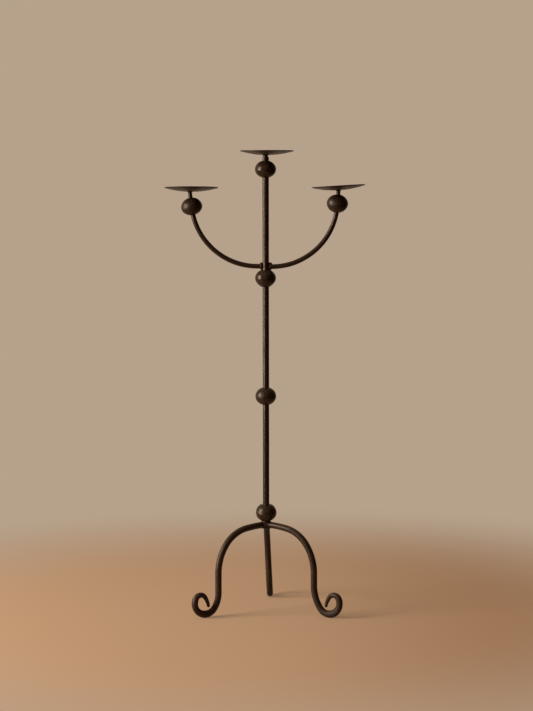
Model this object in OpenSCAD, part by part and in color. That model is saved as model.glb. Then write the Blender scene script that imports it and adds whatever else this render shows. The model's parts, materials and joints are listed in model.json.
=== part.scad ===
// Floor candle stand with three lights, forged from round iron bar.
// Millimetres, +Z up. The origin is on the floor, under the middle of the stem.
// +X points to the right-hand light and +Y to the back leg.

/* [Stem] */
// Diameter of the round stem bar
stem_d = 16; // [15:0.5:18]
// Diameter of the turned-down end just under the top pan
stem_waist_d = 12; // [11:0.5:13]
// Length of that turned-down end
stem_waist_h = 5; // [4:0.5:8]
// Diameter of the spread end that carries the top pan
stem_flare_d = 18; // [16:0.5:20]
// Height of bare bar between the top knop and the top pan
stem_neck_h = 14.7; // [10:0.1:20]

/* [Knops] */
// Widest diameter of every knop
knop_d = 52.3; // [48:0.1:56]
// Height of the full oval that a knop is turned to, before its ends are flattened
knop_h = 43.7; // [40:0.1:48]
// Height of the belly of the middle knop above the floor
knop_middle_z = 539.4; // [450:0.1:620]
// Height of the belly of the upper knop, which carries the arms
knop_upper_z = 832.7; // [780:0.1:860]
// Depth of the upper knop's pointed lower half
knop_upper_point_h = 26; // [22:0.5:28]
// How pointed that lower half is: 1 is round, 2 is nearly a cone
knop_upper_point = 1.7; // [1:0.1:2]
// Height of the belly of the top knop above that of the upper knop
knop_top_rise = 268.4; // [255:0.1:320]
// Width of the flat ring at a knop's end, outside its bar
knop_lip = 1; // [0.5:0.1:2]

/* [Arms] */
// Diameter of the round arm bars
arm_d = 12; // [10:0.5:13]
// Diameter of the arms' straight ends, forged thinner to take knop and pan
arm_end_d = 10.4; // [10:0.1:11.4]
// Diameter of the spread ends that carry the side pans
arm_flare_d = 15.5; // [13:0.5:18]
// Radius that both arms are bent to, at the middle of the bar
arm_bend_r = 162.5; // [150:0.5:170]
// Height of the left arm's middle above the foot of the collar
arm_left_rise = 10.5; // [8:0.1:12]
// Height of the right arm's middle above the foot of the collar
arm_right_rise = 9.3; // [8:0.1:12]
// Where the left arm starts to bend, from the middle of the stem
arm_left_run = 20.8; // [17:0.1:30]
// Where the right arm starts to bend, from the middle of the stem
arm_right_run = 15; // [14:0.1:30]
// Angle that the left arm is bent through
arm_left_turn = 83; // [78:0.5:90]
// Angle that the right arm is bent through
arm_right_turn = 86; // [78:0.5:90]
// Height of the left knop's belly above the middle of the arm's root
knop_left_rise = 147; // [146:0.1:160]
// Height of the right knop's belly above the middle of the arm's root
knop_right_rise = 155.7; // [153:0.1:165]
// Bare bar between the left knop and its pan
arm_left_neck_h = 16.3; // [10:0.1:20]
// Bare bar between the right knop and its pan
arm_right_neck_h = 11.7; // [8:0.1:20]

/* [Arm collar] */
// Outside diameter of the collar's sleeve
collar_d = 25.6; // [24:0.2:28]
// Height of the sleeve, up to the middle of the ring bead
collar_h = 16; // [15:0.5:20]
// Thickness of the ring bead on top
bead_d = 8; // [6:0.5:9]
// Outside diameter of the ring bead
bead_outer_d = 31; // [29:0.5:36]
// Distance of the collar's open, flat front from the stem's middle
collar_front = 5.7; // [5:0.1:7]

/* [Pans] */
// Diameter of every pan
pan_d = 133; // [110:1:145]
// Height of a pan from its underside to its rim
pan_h = 11.2; // [9:0.1:16]
// Thickness of the pans' sheet
pan_sheet = 2; // [1:0.25:2.5]
// Diameter of the flat seat in the middle of a pan
pan_seat_d = 30; // [27:1:40]
// How far the top pan sits off its bar's end, towards +X
pan_top_shift = 3.4; // [0:0.2:4]
// How far the left pan sits off its bar's end, towards +X
pan_left_shift = 4; // [0:0.2:4]
// How far the right pan sits off its bar's end, towards +X
pan_right_shift = 0.6; // [0:0.2:4]
// Tilt of the right pan, outer side up
pan_right_tilt = 3.3; // [0:0.1:6]
// Height of the spread bar end under a pan
flare_h = 2.5; // [1.5:0.5:3.5]

/* [Pan rivets] */
// Diameter of a rivet's shank
rivet_d = 5; // [4:0.5:5.5]
// Length of the rivet below the pan
rivet_length = 11; // [6:1:12]
// Diameter of the countersunk head, which lies flush in the pan's seat
rivet_head_d = 10; // [8:0.5:12]

/* [Legs] */
// Diameter of the round leg bars
leg_d = 16; // [14:0.5:18]
// Height of the legs' middle where they meet the hub
leg_root_z = 216.9; // [210:0.1:260]
// Bend radius of the arch where it leaves the hub
arch_start_r = 330; // [300:5:360]
// Angle of that first bend
arch_start_turn = 10; // [6:1:12]
// Bend radius of the arch's shoulder
arch_shoulder_r = 88; // [80:1:92]
// Bend radius of the arch where it comes down to the upright
arch_end_r = 124; // [110:1:130]
// Angle of that last bend
arch_end_turn = 34; // [28:1:38]
// Lean of the back leg towards +X, seen from the front
leg_back_lean = 2.6; // [0:0.1:3]

/* [Scroll feet] */
// Bend radius where the left leg turns out to its foot
heel_left_r = 65; // [55:1:90]
// Bend radius where the right leg turns out to its foot
heel_right_r = 95; // [65:1:98]
// Bend radius where the back leg turns out to its foot
heel_back_r = 80; // [55:1:98]
// Angle of that bend
heel_turn = 36; // [30:1:40]
// Bend radius of the scroll's outside
scroll_r = 29.6; // [28:0.2:32]
// Angle of the scroll's outside bend
scroll_turn = 164; // [155:1:170]
// Bend radius of the scroll's inner curl
curl_r = 15; // [14:0.5:17]
// Angle of the inner curl
curl_turn = 125; // [110:1:130]
// Bend radius of the nearly straight tip
tip_r = 58; // [45:1:80]
// Angle of the tip's bend
tip_turn = 24; // [15:1:28]
// Diameter that the bar tapers to at the tip
tip_d = 8; // [6:0.5:10]
// Depth of the flat that each foot stands on
foot_flat = 0.4; // [0.2:0.1:1]

/* [Leg hub] */
// Diameter of the hub
hub_d = 23.5; // [22:0.5:28]
// How far the hub stands above the legs
hub_above = 2; // [1:0.5:6]
// How far the hub reaches below the legs
hub_below = 1; // [0:0.5:4]

/* [Fits] */
// Gap all round between a bar and the bore of a knop, collar or hub
bore_gap = 0.1; // [0.05:0.05:0.3]
// Gap between a bar's end and the round piece that it is welded to
weld_gap = 0.1; // [0.05:0.05:0.3]
// Gap all round between a rivet's shank and its hole
rivet_gap = 0.1; // [0.05:0.05:0.3]

/* [Hidden] */
$fn = 96;

bar_colour = [0.16, 0.14, 0.12];
knop_colour = [0.19, 0.165, 0.145];
pan_colour = [0.15, 0.125, 0.11];
rivet_colour = [0.24, 0.21, 0.18];

knop_steps = 12;      // flat bands on each half of a knop's oval
bar_sides = 24;       // sides of a swept leg bar
ring_turn = 8;        // greatest bend between two rings of a swept leg
tip_cap = [30, 60, 80];  // latitudes of the rings that round a leg's tip
azimuth_left = 210;   // the legs stand 120 degrees apart
azimuth_right = 330;
azimuth_back = 90;
over = 1;             // how far a cutting tool runs past what it cuts

// Height on a knop's half where it is narrow enough for a flat of the given diameter
function land_h(flat_d, half_h, point = 1) =
    half_h * sin(acos(pow(flat_d / knop_d, 1 / point)));

hub_top_z = leg_root_z + leg_d / 2 + hub_above;
hub_bottom_z = leg_root_z - leg_d / 2 - hub_below;
stem_land_d = stem_d + 2 * knop_lip;
arm_land_d = arm_d + 2 * knop_lip;
knop_lower_z = hub_top_z + land_h(hub_d, knop_h / 2);
collar_z = knop_upper_z + land_h(collar_d, knop_h / 2);
knop_top_z = knop_upper_z + knop_top_rise;
rivet_head_h = 0.8 * pan_sheet;
pan_top_z = knop_top_z + land_h(stem_land_d, knop_h / 2) + stem_neck_h;

// An arm is [run before its bend, turn, height of its middle, height of its knop above that, bare neck]
arm_left_set = [arm_left_run, arm_left_turn, collar_z + arm_left_rise, knop_left_rise, arm_left_neck_h];
arm_right_set = [arm_right_run, arm_right_turn, collar_z + arm_right_rise, knop_right_rise,
                 arm_right_neck_h];
// Where its bend ends, and how far its knop and its pan lie beyond that along the bar
function bend_end(arm) = [arm[0] + arm_bend_r * sin(arm[1]), arm[2] + arm_bend_r * (1 - cos(arm[1]))];
function knop_along(arm) = (arm[3] - arm_bend_r * (1 - cos(arm[1]))) / sin(arm[1]);
function pan_along(arm) = knop_along(arm) + land_h(arm_land_d, knop_h / 2) + arm[4];

// Circle through the seat's edge and the rim's lower edge: height of its centre, and its radius
pan_wall_h = pan_h - pan_sheet;
pan_centre_z = (pow(pan_d / 2, 2) + pow(pan_wall_h, 2) - pow(pan_seat_d / 2, 2)) / (2 * pan_wall_h);
pan_round_r = norm([pan_seat_d / 2, pan_centre_z]);

// ---- shared shapes ----

// Half section of a knop: a half oval above the belly, and a half oval or a point below it
module knop_section(top_flat_d, bottom_flat_d, bottom_h, point) {
    top_start = acos(top_flat_d / knop_d);
    bottom_end = acos(pow(bottom_flat_d / knop_d, 1 / point));
    upper = [for (i = [0:knop_steps]) let (a = top_start * (1 - i / knop_steps))
        [knop_d / 2 * cos(a), knop_h / 2 * sin(a)]];
    lower = [for (i = [1:knop_steps]) let (a = bottom_end * i / knop_steps)
        [knop_d / 2 * pow(cos(a), point), -bottom_h * sin(a)]];
    polygon(concat([[0, upper[0][1]]], upper, lower, [[0, lower[knop_steps - 1][1]]]));
}

module knop_solid(top_flat_d, bottom_flat_d, bottom_h = knop_h / 2, point = 1) {
    rotate_extrude() knop_section(top_flat_d, bottom_flat_d, bottom_h, point);
}

// A knop on the stem, with its bore
module stem_knop(z, top_flat_d = stem_land_d, bottom_flat_d = stem_land_d, bottom_h = knop_h / 2, point = 1) {
    color(knop_colour)
        difference() {
            translate([0, 0, z]) knop_solid(top_flat_d, bottom_flat_d, bottom_h, point);
            translate([0, 0, z - knop_h]) cylinder(d = stem_d + 2 * bore_gap, h = 2 * knop_h);
        }
}

// Moves its children to the place on an arm's straight end, tilted with the bar
module on_arm_end(arm, along) {
    end = bend_end(arm);
    translate([end[0], 0, end[1]]) rotate([0, 90 - arm[1], 0]) translate([0, 0, along]) children();
}

// Moves its children to the underside of an arm's pan, turned by the pan's own tilt
module on_arm_pan(arm, tilt) {
    end = bend_end(arm) + pan_along(arm) * [cos(arm[1]), sin(arm[1])];
    translate([end[0], 0, end[1]]) rotate([0, -tilt, 0]) children();
}

// An arm's bar, drawn to the right: a straight root, one bend, and a thinner straight end
module arm_path(arm, end_length, gap = 0) {
    translate([0, 0, arm[2]]) {
        rotate([0, 90, 0]) cylinder(d = arm_d + 2 * gap, h = arm[0]);
        translate([arm[0], 0, arm_bend_r])
            rotate([90, 0, 0])
                rotate_extrude(angle = arm[1], start = 270)
                    translate([arm_bend_r, 0]) circle(d = arm_d + 2 * gap);
    }
    on_arm_end(arm, -over) cylinder(d = arm_end_d + 2 * gap, h = end_length + over);
}

// The spread end that a pan rests on, just below the origin
module pan_flare(bar_d, flare_d) {
    translate([0, 0, -flare_h]) cylinder(d1 = bar_d - over, d2 = flare_d, h = flare_h);
}

// A rivet whose head lies flush with the top of a pan's sheet, grown by a gap
module rivet_solid(gap = 0) {
    translate([0, 0, -rivet_length - gap])
        cylinder(d = rivet_d + 2 * gap, h = rivet_length + pan_sheet + gap);
    translate([0, 0, pan_sheet - rivet_head_h])
        cylinder(d1 = rivet_d + 2 * gap, d2 = rivet_head_d + 2 * gap, h = rivet_head_h);
}

// Outside of the arm collar, grown by a gap and with its sleeve made longer by the given height
module collar_solid(gap = 0, longer = 0) {
    translate([0, 0, collar_z - gap]) cylinder(d = collar_d + 2 * gap, h = collar_h + gap + longer);
    translate([0, 0, collar_z + collar_h])
        rotate_extrude()
            translate([(bead_outer_d - bead_d) / 2, 0]) circle(d = bead_d + 2 * gap);
}

module arm_bar(arm, tilt) {
    color(bar_colour)
        difference() {
            union() {
                difference() {
                    arm_path(arm, pan_along(arm) + arm_flare_d);
                    on_arm_pan(arm, tilt)
                        translate([-arm_flare_d, -arm_flare_d, 0]) cube(2 * arm_flare_d);
                }
                on_arm_pan(arm, tilt) pan_flare(arm_end_d, arm_flare_d);
            }
            collar_solid(weld_gap, arm_d);
            on_arm_pan(arm, tilt) rivet_solid(rivet_gap);
        }
}

module arm_knop(arm) {
    color(knop_colour)
        difference() {
            on_arm_end(arm, knop_along(arm)) knop_solid(arm_land_d, arm_land_d);
            arm_path(arm, knop_h + knop_d, bore_gap);
        }
}

// A pan over the origin, its middle moved along X and its rivet hole over the origin
module pan(shift) {
    color(pan_colour)
        difference() {
            translate([shift, 0, 0])
                rotate_extrude() {
                    difference() {
                        intersection() {
                            translate([0, pan_centre_z]) circle(r = pan_round_r);
                            square([pan_d / 2, pan_h]);
                        }
                        translate([0, pan_centre_z + pan_sheet]) circle(r = pan_round_r);
                    }
                    square([pan_seat_d / 2, pan_sheet]);
                }
            rivet_solid(rivet_gap);
        }
}

module rivet() {
    color(rivet_colour) rivet_solid();
}

// ---- legs: a round bar swept along bends in the upright plane [outwards, up] ----

function seg_length(seg) = seg[1] == 0 ? seg[0] : seg[0] * abs(seg[1]) * PI / 180;

// Point at fraction f of a segment [bend radius, turn] or [length, 0] that starts at p with the heading
function seg_point(p, heading, seg, f) =
    seg[1] == 0 ? p + seg[0] * f * [cos(heading), sin(heading)]
    : let (side = sign(seg[1]), g = heading + seg[1] * f)
        p + side * seg[0] * [sin(g) - sin(heading), cos(heading) - cos(g)];

// Rings [point, heading, length so far] along segs, after the start
function stations(segs, p, heading, run = 0, i = 0) =
    i == len(segs) ? []
    : let (seg = segs[i], n = seg[1] == 0 ? 1 : ceil(abs(seg[1]) / ring_turn))
        concat([for (k = [1:n]) [seg_point(p, heading, seg, k / n), heading + seg[1] * k / n,
                                 run + seg_length(seg) * k / n]],
               stations(segs, seg_point(p, heading, seg, 1), heading + seg[1], run + seg_length(seg), i + 1));

function total(list, i = 0) = i == len(list) ? 0 : list[i] + total(list, i + 1);

arch = [[arch_start_r, -arch_start_turn],
        [arch_shoulder_r, arch_start_turn + arch_end_turn - 90],
        [arch_end_r, -arch_end_turn]];
arch_foot = stations(arch, [0, 0], 0)[len(stations(arch, [0, 0], 0)) - 1][0];

// How far a foot reaches below the upright's end: the heel's bend, then the scroll down to level
function foot_drop(heel_r) = heel_r * sin(heel_turn) + scroll_r * (1 - sin(heel_turn));
function upright_h(heel_r, lean) =
    (leg_root_z - leg_d / 2 + foot_flat) / cos(lean) + arch_foot[1] - foot_drop(heel_r);
// Distance from the stem's middle to where a foot stands
function foot_reach(heel_r) = arch_foot[0] + heel_r * (1 - cos(heel_turn)) + scroll_r * cos(heel_turn);

function leg_segs(heel_r, lean) = concat(arch, [[upright_h(heel_r, lean), 0], [heel_r, heel_turn],
    [scroll_r, scroll_turn], [curl_r, curl_turn], [tip_r, tip_turn]]);

// Bar radius at a length along the leg: full up to the curl, then tapering to the tip
function bar_r(at, taper_start, length) =
    leg_d / 2 + (tip_d - leg_d) / 2 * max(0, (at - taper_start) / (length - taper_start));

function bar_ring(p, heading, r) = [for (j = [0:bar_sides - 1]) let (a = 360 * j / bar_sides)
    [p[0] - r * cos(a) * sin(heading), r * sin(a), p[1] + r * cos(a) * cos(heading)]];

module leg_bar_sweep(heel_r, lean) {
    segs = leg_segs(heel_r, lean);
    lengths = [for (s = segs) seg_length(s)];
    length = total(lengths);
    taper_start = length - lengths[6] - lengths[7];
    body = concat([[[0, 0], 0, 0]], stations(segs, [0, 0], 0));
    tip = body[len(body) - 1];
    rings = concat(
        [for (s = body) bar_ring(s[0], s[1], bar_r(s[2], taper_start, length))],
        [for (a = tip_cap) bar_ring(tip[0] + tip_d / 2 * sin(a) * [cos(tip[1]), sin(tip[1])], tip[1],
                                    tip_d / 2 * cos(a))]);
    last = len(rings) - 1;
    points = [for (r = rings) for (p = r) p];
    sides = [for (i = [0:last - 1]) for (j = [0:bar_sides - 1]) let (k = (j + 1) % bar_sides)
        [i * bar_sides + j, i * bar_sides + k, (i + 1) * bar_sides + k, (i + 1) * bar_sides + j]];
    start_cap = [for (j = [bar_sides - 1:-1:0]) j];
    end_cap = [for (j = [0:bar_sides - 1]) last * bar_sides + j];
    polyhedron(points, concat(sides, [start_cap, end_cap]));
}

module leg(azimuth, heel_r, lean = 0) {
    color(bar_colour)
        difference() {
            translate([0, 0, leg_root_z])
                rotate([0, 0, azimuth]) rotate([-lean, 0, 0]) leg_bar_sweep(heel_r, lean);
            translate([0, 0, hub_bottom_z - leg_d])
                cylinder(d = hub_d + 2 * weld_gap, h = hub_top_z - hub_bottom_z + 2 * leg_d);
            translate([-2 * leg_root_z, -2 * leg_root_z, -leg_d])
                cube([4 * leg_root_z, 4 * leg_root_z, leg_d]);
        }
}

// ---- the stand's pieces ----

module stem_bar() {
    shoulder_z = pan_top_z - stem_waist_h;
    color(bar_colour)
        difference() {
            union() {
                translate([0, 0, hub_bottom_z]) cylinder(d = stem_d, h = shoulder_z - hub_bottom_z);
                translate([0, 0, shoulder_z - over]) cylinder(d = stem_waist_d, h = stem_waist_h + over);
                translate([0, 0, pan_top_z]) pan_flare(stem_waist_d, stem_flare_d);
            }
            translate([0, 0, pan_top_z]) rivet_solid(rivet_gap);
        }
}

module leg_hub() {
    color(bar_colour)
        translate([0, 0, hub_bottom_z])
            difference() {
                cylinder(d = hub_d, h = hub_top_z - hub_bottom_z);
                translate([0, 0, -over])
                    cylinder(d = stem_d + 2 * bore_gap, h = hub_top_z - hub_bottom_z + 2 * over);
            }
}

module leg_left() { leg(azimuth_left, heel_left_r); }
module leg_right() { leg(azimuth_right, heel_right_r); }
module leg_back() { leg(azimuth_back, heel_back_r, leg_back_lean); }

module knop_lower() { stem_knop(knop_lower_z, bottom_flat_d = hub_d); }
module knop_middle() { stem_knop(knop_middle_z); }
module knop_upper() {
    stem_knop(knop_upper_z, top_flat_d = collar_d, bottom_h = knop_upper_point_h, point = knop_upper_point);
}
module knop_top() { stem_knop(knop_top_z); }
module knop_left() { mirror([1, 0, 0]) arm_knop(arm_left_set); }
module knop_right() { arm_knop(arm_right_set); }

module arm_collar() {
    color(bar_colour)
        difference() {
            collar_solid();
            translate([0, 0, collar_z - over])
                cylinder(d = stem_d + 2 * bore_gap, h = collar_h + bead_d + 2 * over);
            // the open front, where the stem shows between the collar's two lips
            translate([-bead_outer_d, -collar_front - bead_outer_d, collar_z - over])
                cube([2 * bead_outer_d, bead_outer_d, collar_h + bead_d + 2 * over]);
        }
}

module arm_left() { mirror([1, 0, 0]) arm_bar(arm_left_set, 0); }
module arm_right() { arm_bar(arm_right_set, pan_right_tilt); }

// Moves its children to the underside of the left or the right pan
module at_left_pan() { mirror([1, 0, 0]) on_arm_pan(arm_left_set, 0) children(); }
module at_right_pan() { on_arm_pan(arm_right_set, pan_right_tilt) children(); }

module pan_top() { translate([0, 0, pan_top_z]) pan(pan_top_shift); }
module pan_left() { at_left_pan() pan(-pan_left_shift); }
module pan_right() { at_right_pan() pan(pan_right_shift); }
module rivet_top() { translate([0, 0, pan_top_z]) rivet(); }
module rivet_left() { at_left_pan() rivet(); }
module rivet_right() { at_right_pan() rivet(); }

stem_bar();
leg_hub();
leg_left();
leg_right();
leg_back();
knop_lower();
knop_middle();
knop_upper();
knop_top();
knop_left();
knop_right();
arm_collar();
arm_left();
arm_right();
pan_top();
pan_left();
pan_right();
rivet_top();
rivet_left();
rivet_right();
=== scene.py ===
"""Floor candle stand with three lights in forged, blackened iron: the dressed model.

Every surface is worked out with numpy, in millimetres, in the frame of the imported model: the stem stands
on the Z axis, the floor is z = 0, +X points to the right-hand light and +Y to the back leg.
"""
import json
import math

import bpy
import numpy as np
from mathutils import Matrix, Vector

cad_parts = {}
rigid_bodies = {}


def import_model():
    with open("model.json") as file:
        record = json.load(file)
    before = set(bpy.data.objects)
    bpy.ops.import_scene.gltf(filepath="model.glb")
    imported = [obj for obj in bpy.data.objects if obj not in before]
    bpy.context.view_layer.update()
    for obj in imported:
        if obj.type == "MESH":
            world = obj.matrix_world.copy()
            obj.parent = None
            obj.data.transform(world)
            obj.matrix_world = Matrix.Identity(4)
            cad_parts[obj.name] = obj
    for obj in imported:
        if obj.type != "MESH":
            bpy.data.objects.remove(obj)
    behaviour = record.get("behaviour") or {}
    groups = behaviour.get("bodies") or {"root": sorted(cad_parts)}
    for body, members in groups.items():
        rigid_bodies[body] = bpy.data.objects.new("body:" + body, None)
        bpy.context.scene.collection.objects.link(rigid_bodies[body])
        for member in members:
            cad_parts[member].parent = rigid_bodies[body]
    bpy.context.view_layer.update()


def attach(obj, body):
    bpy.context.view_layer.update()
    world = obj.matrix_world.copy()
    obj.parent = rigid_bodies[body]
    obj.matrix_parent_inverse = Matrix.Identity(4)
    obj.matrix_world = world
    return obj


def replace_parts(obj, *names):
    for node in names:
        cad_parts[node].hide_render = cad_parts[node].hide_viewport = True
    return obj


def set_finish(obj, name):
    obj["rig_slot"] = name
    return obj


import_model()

MM = 0.001


def sin(degrees):
    return math.sin(math.radians(degrees))


def cos(degrees):
    return math.cos(math.radians(degrees))


# ---- sizes of the solids, in millimetres ----

STEM_R = 8.0
STEM_WAIST_R = 6.0
STEM_WAIST_H = 5.0
STEM_SHOULDER_H = 1.2
STEM_FLARE_R = 9.0
STEM_NECK_H = 14.7
STEM_CHAMFER = 0.8
KNOP_R = 26.15
KNOP_HALF = 21.85
KNOP_MIDDLE_Z = 539.4
KNOP_UPPER_Z = 832.7
KNOP_UPPER_POINT_H = 26.0
KNOP_TOP_Z = KNOP_UPPER_Z + 268.4
KNOP_LIP = 1.0
ARM_R = 6.0
ARM_END_R = 5.2
ARM_FLARE_R = 7.75
ARM_BEND_R = 162.5
COLLAR_R = 12.8
COLLAR_H = 16.0
BEAD_R = 4.0
BEAD_OUTER_R = 15.5
COLLAR_FRONT = 5.7
PAN_R = 66.5
PAN_H = 11.2
PAN_SHEET = 2.0
PAN_SEAT_R = 15.0
FLARE_H = 2.5
RIVET_R = 2.5
RIVET_HEAD_R = 5.0
RIVET_LENGTH = 11.0
SINK_IN, SINK_DEPTH = 2.4, 1.6
LEG_R = 8.0
LEG_TIP_R = 4.0
LEG_ROOT_Z = 216.9
FOOT_FLAT = 0.4
HUB_R = 11.75
HUB_ABOVE = 2.0
HUB_BELOW = 1.0
GAP = 0.1


def land_h(flat_r):
    """Height on a plain knop's half where it is narrow enough for a flat of that radius."""
    return KNOP_HALF * math.sqrt(1 - (flat_r / KNOP_R) ** 2)


STEM_LAND_R = STEM_R + KNOP_LIP
ARM_LAND_R = ARM_R + KNOP_LIP
HUB_TOP_Z = LEG_ROOT_Z + LEG_R + HUB_ABOVE
HUB_BOTTOM_Z = LEG_ROOT_Z - LEG_R - HUB_BELOW
KNOP_LOWER_Z = HUB_TOP_Z + land_h(HUB_R)
COLLAR_Z = KNOP_UPPER_Z + land_h(COLLAR_R)
PAN_TOP_Z = KNOP_TOP_Z + land_h(STEM_LAND_R) + STEM_NECK_H

# The spread end under a pan: height from the pan's underside, and radius.
ARM_FLARE = np.array([
    (-FLARE_H, 5.15), (-1.6, 5.7), (-0.9, 6.9), (-0.25, ARM_FLARE_R), (0, ARM_FLARE_R - 0.3)])
# The same on the stem, from the shoulder of its waist on.
STEM_FLARE = np.array([
    (-STEM_WAIST_H - STEM_SHOULDER_H, STEM_R), (-STEM_WAIST_H + 0.4, STEM_WAIST_R), (-FLARE_H, STEM_WAIST_R),
    (-0.9, STEM_FLARE_R - 1.2), (-0.3, STEM_FLARE_R), (0, STEM_FLARE_R - 0.3)])

# An arm: straight run from the stem, angle of its bend, height of its middle, height of its knop
# above that, bare neck, its pan's shift, its tilt and how far its front rim is bent up, its side, how
# far its knop sits askew, and that knop's own form.
ARMS = {
    "left": dict(run=20.8, turn=83.0, z=COLLAR_Z + 10.5, knop=147.0, neck=16.3, shift=4.0, tilt=0.0,
                 nod=1.3, side=-1, askew=3.5, form=dict(belly=26.5, high=22.7, deep=21.2)),
    "right": dict(run=15.0, turn=86.0, z=COLLAR_Z + 9.3, knop=155.7, neck=11.7, shift=0.6, tilt=3.3,
                  nod=-0.2, side=1, askew=0.0, form=dict(belly=26.6, high=22.3, deep=23.4, off=-0.3)),
}
PAN_TOP_SHIFT = 3.4
PAN_TOP_NOD = -1.4
# A knop on the stem: its height, the radii of its upper and lower flats, and its own form.
STEM_KNOPS = {
    "lower": (KNOP_LOWER_Z, 15.2, HUB_R, dict(high=25.5, off=0.2)),
    "middle": (KNOP_MIDDLE_Z, STEM_LAND_R, STEM_LAND_R, dict(high=22.8, deep=22.9, off=-0.4)),
    "upper": (KNOP_UPPER_Z, COLLAR_R, STEM_LAND_R,
              dict(high=22.7, deep=KNOP_UPPER_POINT_H, point=1.58, off=-0.6)),
    "top": (KNOP_TOP_Z, STEM_LAND_R, STEM_LAND_R, dict(belly=26.6, high=22.1, deep=22.0, off=-0.3)),
}
# A leg: its azimuth, the bend radius of its heel, its lean across its own plane, and where its bar is
# thicker inside the scroll: by how much, over what length, and how far past the lowest point.
LEGS = {
    "left": dict(azimuth=210.0, heel=65.0, lean=0.0, upset=(2.3, 20.0, 0.0)),
    "right": dict(azimuth=330.0, heel=95.0, lean=0.0, upset=(2.6, 28.0, 10.0)),
    "back": dict(azimuth=90.0, heel=80.0, lean=2.6, upset=(2.3, 22.0, 0.0)),
}
# Bends of a leg as (radius, turn): the arch, the heel's turn, and the scroll.
ARCH = [(330.0, -10.0), (88.0, -46.0), (124.0, -34.0)]
HEEL_TURN = 36.0
SCROLL = [(29.6, 164.0), (15.0, 125.0), (58.0, 24.0)]


# ---- how finely the surfaces are drawn, and the smith's blows ----

# Points round each piece, and rings or steps along it.
STEM_AROUND, STEM_STEP, STEM_FLARE_RINGS = 56, 1.15, 22
ARM_AROUND, ARM_STEP, ARM_ROOT_RINGS, ARM_BEND_RINGS, ARM_FLARE_RINGS = 40, 1.0, 8, 230, 8
LEG_AROUND, LEG_STEP, LEG_ROOT_RINGS = 48, 1.1, 12
LEG_CAP_ANGLES = [18, 34, 50, 65, 78]
KNOP_AROUND, KNOP_HALF_RINGS = 120, 56
PAN_AROUND, PAN_LOW_RINGS, PAN_RIM_RINGS, PAN_HIGH_RINGS = 170, 64, 7, 62
COLLAR_AROUND, COLLAR_BEAD_POINTS = 150, 26
HUB_AROUND = 72
RIVET_AROUND = 32
WELD_ALONG, WELD_AROUND = 150, 18

# Hammer blows on a bar: their number, and the depth and length of their flats in millimetres, of which
# a single blow has a random share.
STEM_BLOWS = (270, 0.16, 30)
ARM_BLOWS = (90, 0.15, 24)
LEG_BLOWS = (170, 0.17, 26)
BLOW_DEPTHS, BLOW_LENGTHS = (0.25, 1.0), (0.5, 1.5)
# Blows on a knop: their number, and the depth of the deepest flat. The bands beside its lands stay
# true, and its heights give way less than its widths.
KNOP_BLOWS, KNOP_BLOW_DEPTH, KNOP_TRUE_BAND, KNOP_HEIGHT_SHARE = 150, 0.36, 2.0, 0.6
# Planishing blows on a pan: their number, the shares of its area within which they fall, their sizes and
# depths, how far the sheet is pushed back up as a whole, and the share of a blow that is left at the rim.
PAN_BLOWS, PAN_BLOW_AREA, PAN_BLOW_SIZES, PAN_BLOW_DEPTHS = 150, (0.06, 0.98), (4.5, 8.5), (0.05, 0.22)
PAN_BLOWS_MEAN, PAN_BLOWS_AT_RIM = 0.16, 0.3
# A pan's half round and the angle it reaches up and down, the way over which its rings come to lie round
# its own middle and its blows set in, and from where to where its rim begins.
PAN_EDGE_R, PAN_EDGE_ANGLE = 1.25, 70
PAN_CENTRING, PAN_EASE, PAN_RIM_FROM, PAN_RIM_TO = 8.0, 10.0, 45.0, 65.0
# Radii of the circles on which the ripples of a spread end and of a pan's rim are taken.
SPREAD_RIPPLE_R, RIM_RIPPLE_R = 8, 60
# An arm is drawn down to its neck over the first of these lengths, and its middle wanders by the second.
ARM_NECKING, ARM_WANDER = 4.0, 0.12
# A leg's skin is worn down by the first. The collar's ring bulges to the right by twice the second, and
# its round section ends at the third angle, just past its top.
LEG_WORN, COLLAR_BULGE, COLLAR_BEAD_TO = 0.02, 0.45, 96
# The welds' radii, and half the number of overlapping lumps in one.
LEG_WELD_R, ARM_WELD_R, WELD_BEATS = 1.3, 1.6, 9

X_WAY, Y_WAY = (1.0, 0.0, 0.0), (0.0, 1.0, 0.0)
FAR = math.inf
# Cosine waves in a ripple, and the angle in degrees from which an edge is shaded as sharp.
WAVES, SHARP_ANGLE = 24, 42
# A flat reaches round a bar to where the cosine of the angle from the blow is this.
FLAT_REACH = 0.3
# Rubbed ridges: from and over how many times the piece's median sharpness they count, the gain in the
# end, and the least that the median is taken for.
RIDGE_FROM, RIDGE_OVER, RIDGE_GAIN, RIDGE_LEAST = 1.15, 1.6, 1.6, 0.01


# ---- surfaces ----

def ramp(value, low, high):
    """0 up to low, 1 from high on, and a straight line between them."""
    return np.clip((value - low) / (high - low), 0, 1)


def ripple(points, size, seed):
    """Smooth noise of about -1 to 1: the sum of plane cosine waves cos(k.p + phase) in random directions,
    with wavelengths between 0.7 and 1.8 times the given size in millimetres."""
    rng = np.random.default_rng(seed)
    way = rng.normal(size=(WAVES, 3))
    way /= np.linalg.norm(way, axis=1)[:, None]
    k = way * (2 * np.pi / (size * rng.uniform(0.7, 1.8, WAVES)))[:, None]
    return np.cos(points @ k.T + rng.uniform(0, 2 * np.pi, WAVES)).sum(-1) / math.sqrt(WAVES / 2) / 2


def dents(points, depth, size, seed):
    """Depths of an uneven skin, depth * (1 + ripple), so that it hardly ever stands proud."""
    return depth * (1 + ripple(points, size, seed))


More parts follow.
